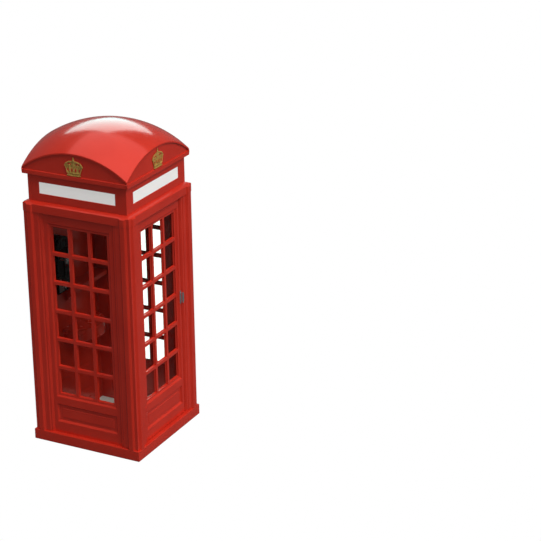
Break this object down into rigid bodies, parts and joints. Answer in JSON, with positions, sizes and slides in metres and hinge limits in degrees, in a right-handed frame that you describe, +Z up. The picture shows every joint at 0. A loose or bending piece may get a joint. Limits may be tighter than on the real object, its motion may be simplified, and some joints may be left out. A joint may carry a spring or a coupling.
{
  "type": "telephone booth",
  "caption": "Square cast-iron street telephone booth with a domed roof, glazed walls, a side-hung door and a coin telephone inside.",
  "frame": {"origin": "centre of the square footprint, on the ground", "axes": "+Z up, door on the -Y side, back wall on the +Y side, door handle towards +X"},
  "size_m": [1.066, 1.066, 2.82],
  "materials": {
    "red_iron": "gloss red paint over cast iron",
    "red_timber": "gloss red paint over hardwood",
    "red_steel": "gloss red paint on sheet steel",
    "clear_glass": "clear sheet glass",
    "opal_glass": "opal white glass",
    "lamp_glass": "frosted glass",
    "gilt": "gold paint on cast metal",
    "concrete": "float-finished concrete",
    "white_steel": "white enamelled steel",
    "chrome": "bright chrome plate",
    "grey_steel": "satin steel",
    "black_enamel": null,
    "black_moulding": "black phenolic moulding",
    "iron_hinge": "painted steel"
  },
  "bodies": {
    "booth": {"back_crown": "gilt", "back_panel": "red_iron", "back_sign": "opal_glass", "back_wall_frame": "red_iron", "cash_cover": "grey_steel", "cash_lock": "chrome", "ceiling": "white_steel", "coin_entry": "chrome", "cord_gland": "chrome", "cornice": "red_iron", "face_plate": "grey_steel", "finger_stop": "chrome", "floor_slab": "concrete", "front_crown": "gilt", "front_sign": "opal_glass", "hinge_post_leaves": "iron_hinge", "hook_pin": "chrome", "lamp_bulb": "lamp_glass", "lamp_diffuser": "lamp_glass", "lamp_holder": "white_steel", "left_crown": "gilt", "left_glass": "clear_glass", "left_sign": "opal_glass", "left_wall_frame": "red_iron", "left_window": "red_iron", "parcel_shelf": "red_steel", "plinth": "red_iron", "post_back_left": "red_iron", "post_back_right": "red_iron", "post_front_left": "red_iron", "post_front_right": "red_iron", "right_crown": "gilt", "right_glass": "clear_glass", "right_sign": "opal_glass", "right_wall_frame": "red_iron", "right_window": "red_iron", "roof_dome": "red_iron", "shelf": "red_timber", "shelf_brackets": "red_steel", "sign_box": "red_iron", "telephone_board": "red_timber", "telephone_case": "black_enamel"},
    "door": {"door_hinge_stile": "red_timber", "door_lock_stile": "red_timber", "door_bottom_rail": "red_timber", "door_mid_rail": "red_timber", "door_top_rail": "red_timber", "door_lower_panel": "red_timber", "door_window": "red_iron", "door_glass": "clear_glass", "handle_plate": "chrome", "handle_grip": "chrome", "handle_screws": "chrome", "hinge_door_leaves": "iron_hinge"},
    "dial": {"dial": "chrome"},
    "button_a": {"button_a": "chrome"},
    "button_b": {"button_b": "chrome"},
    "return_flap": {"return_flap": "chrome"},
    "switch_hook": {"switch_hook": "chrome"},
    "handset": {"handset": "black_moulding"}
  },
  "joints": [
    {"name": "door_hinge", "type": "hinge", "parent": "booth", "child": "door", "pos_m": [-0.34, -0.503, 1.15], "axis": [0, 0, -1], "range_deg": [0, 95]},
    {"name": "dial_turn", "type": "hinge", "parent": "booth", "child": "dial", "pos_m": [-0.213, 0.3135, 1.59], "axis": [0, 1, 0], "range_deg": [0, 300], "stiffness_Nm_per_rad": 0.02, "springref_deg": -28.65},
    {"name": "button_a_press", "type": "slide", "parent": "booth", "child": "button_a", "axis": [0, 1, 0], "range_m": [0, 0.006], "stiffness_N_per_m": 300, "springref_m": -0.004},
    {"name": "button_b_press", "type": "slide", "parent": "booth", "child": "button_b", "axis": [0, 1, 0], "range_m": [0, 0.006], "stiffness_N_per_m": 300, "springref_m": -0.004},
    {"name": "flap_swing", "type": "hinge", "parent": "booth", "child": "return_flap", "pos_m": [-0.22, 0.321, 1.398], "axis": [1, 0, 0], "range_deg": [0, 55]},
    {"name": "handset_lift", "type": "slide", "parent": "booth", "child": "handset", "axis": [0, 0, 1], "range_m": [0, 0.06]},
    {"name": "hook_tilt", "type": "hinge", "parent": "booth", "child": "switch_hook", "pos_m": [-0.317, 0.345, 1.65], "axis": [-1, 0, 0], "range_deg": [0, 8]}
  ],
  "couplings": [
    {"joint": "hook_tilt", "follows": "handset_lift", "rad_per_m": 2.3}
  ]
}
